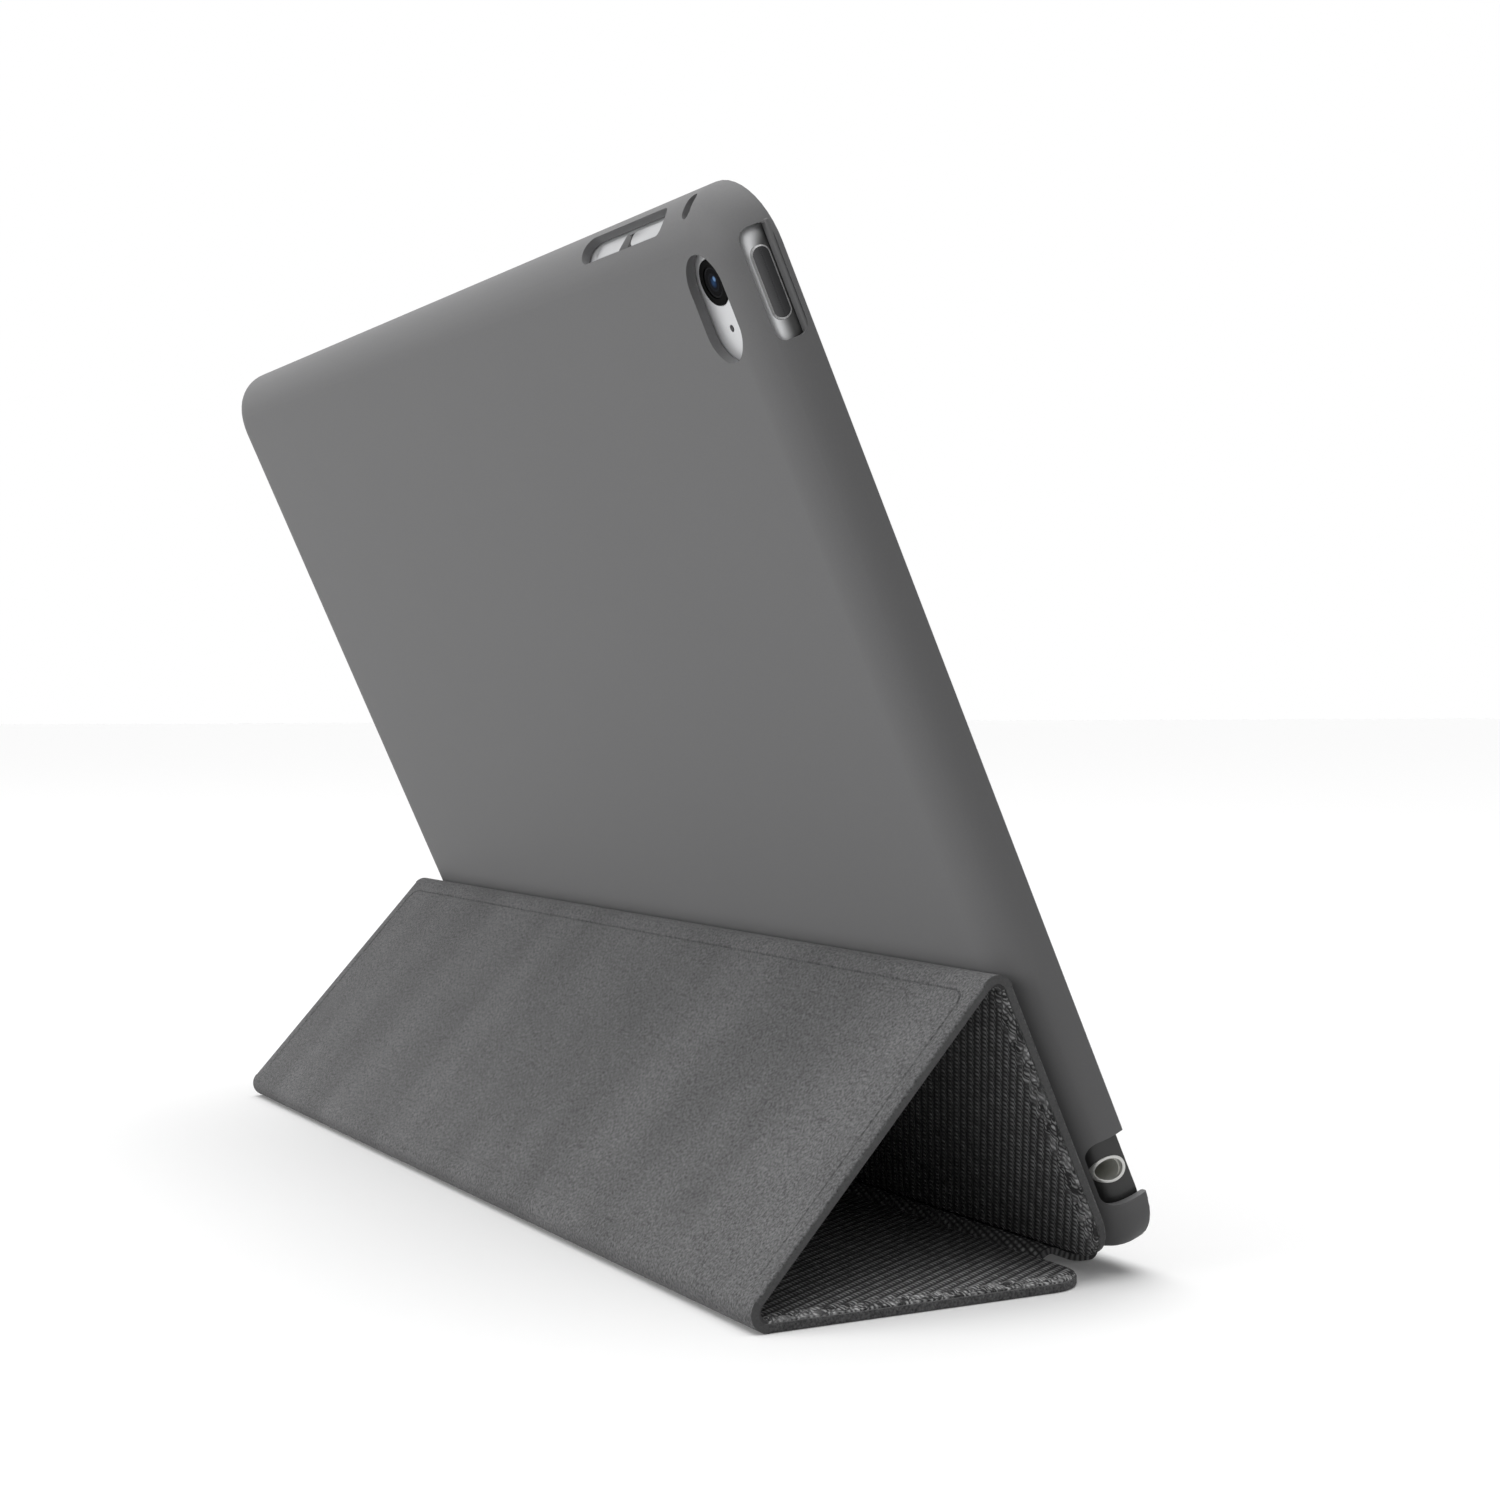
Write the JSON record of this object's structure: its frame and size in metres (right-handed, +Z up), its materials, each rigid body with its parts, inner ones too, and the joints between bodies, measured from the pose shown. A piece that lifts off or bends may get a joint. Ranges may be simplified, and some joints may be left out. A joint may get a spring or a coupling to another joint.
{
  "type": "tablet folio case",
  "caption": "Slim clip-on tablet shell with a hinged folding cover, its panels folded into a triangle that props the tablet up in landscape.",
  "frame": {"origin": "centre of the footprint, on the surface the floor panel lies on", "axes": "+X along the long edge, towards the home key's end; +Y from the screen towards the prop behind it; +Z up"},
  "size_m": [0.243, 0.0762, 0.1616],
  "materials": {
    "shell": "soft-touch matte",
    "microfibre": "brushed nap",
    "twill": "coarse ribbed weave",
    "stiffener": "plain board",
    "magnet": "plated",
    "housing": "fine bead-blasted, anodised",
    "key": "polished chamfer",
    "front_glass": "gloss black border",
    "panel": "dark display",
    "cell": "black film over foil pouch",
    "board": "solder mask",
    "black_trim": "gloss black",
    "lens": "coated",
    "socket": "stamped"
  },
  "bodies": {
    "floor_panel": {"floor_panel_board": "stiffener", "floor_panel_lining": "microfibre", "floor_panel_twill": "twill", "keeper_strip": "magnet", "rear_fold": "microfibre"},
    "slope_panel": {"slope_panel_board": "stiffener", "slope_panel_lining": "microfibre", "slope_panel_twill": "twill", "ridge_fold": "microfibre"},
    "rest_panel": {"rest_panel_board": "stiffener", "rest_panel_lining": "microfibre", "rest_panel_twill": "twill", "edge_magnets": "magnet", "wake_magnet": "magnet"},
    "spine": {"spine_strip": "microfibre", "spine_loop": "microfibre"},
    "shell": {"rear_shell": "shell", "spine_tab": "microfibre"},
    "tablet": {"tablet_housing": "housing", "display_glass": "front_glass", "home_ring": "key", "display_panel": "panel", "battery_cells": "cell", "logic_board": "board", "camera_ring": "black_trim", "camera_lens": "lens", "camera_module": "black_trim", "front_camera": "black_trim", "speaker_modules": "black_trim", "headphone_jack": "socket", "dock_port": "socket"},
    "volume_up_key": {"volume_up_button": "key"},
    "volume_down_key": {"volume_down_button": "key"},
    "power_key": {"power_button": "key"},
    "home_key": {"home_button": "black_trim"}
  },
  "joints": [
    {"name": "spine_fold", "type": "hinge", "parent": "floor_panel", "child": "spine", "pos_m": [0, -0.02501, 0.0001], "axis": [1, 0, 0], "range_deg": [0, 147]},
    {"name": "shell_hinge", "type": "hinge", "parent": "spine", "child": "shell", "pos_m": [0, -0.03448, 0.00175], "axis": [1, 0, 0], "range_deg": [0, 147], "deforming": ["spine_loop"]},
    {"name": "stand_fold", "type": "hinge", "parent": "floor_panel", "child": "slope_panel", "pos_m": [0, 0.03264, 0.002], "axis": [-1, 0, 0], "range_deg": [0, 126], "deforming": ["rear_fold"]},
    {"name": "ridge_fold", "type": "hinge", "parent": "slope_panel", "child": "rest_panel", "pos_m": [0, -0.0075, 0.04652], "axis": [1, 0, 0], "range_deg": [0, 61], "deforming": ["ridge_fold"]},
    {"name": "tablet_lift", "type": "slide", "parent": "shell", "child": "tablet", "axis": [0, 0.9114, -0.4114], "range_m": [-0.03, 0]},
    {"name": "volume_up_press", "type": "slide", "parent": "tablet", "child": "volume_up_key", "axis": [0, -0.9354, -0.3536], "range_m": [0, 0.00025], "stiffness_N_per_m": 1200},
    {"name": "volume_down_press", "type": "slide", "parent": "tablet", "child": "volume_down_key", "axis": [0, -0.9354, -0.3536], "range_m": [0, 0.00025], "stiffness_N_per_m": 1200},
    {"name": "power_press", "type": "slide", "parent": "tablet", "child": "power_key", "axis": [0.9135, -0.3707, 0.1673], "range_m": [0, 0.00025], "stiffness_N_per_m": 1200},
    {"name": "home_press", "type": "slide", "parent": "tablet", "child": "home_key", "axis": [0, 0.9114, -0.4114], "range_m": [0, 0.0003], "stiffness_N_per_m": 1200}
  ],
  "couplings": [
    {"joint": "shell_hinge", "follows": "spine_fold", "ratio": 1},
    {"joint": "ridge_fold", "follows": "stand_fold", "ratio": 0.48}
  ]
}
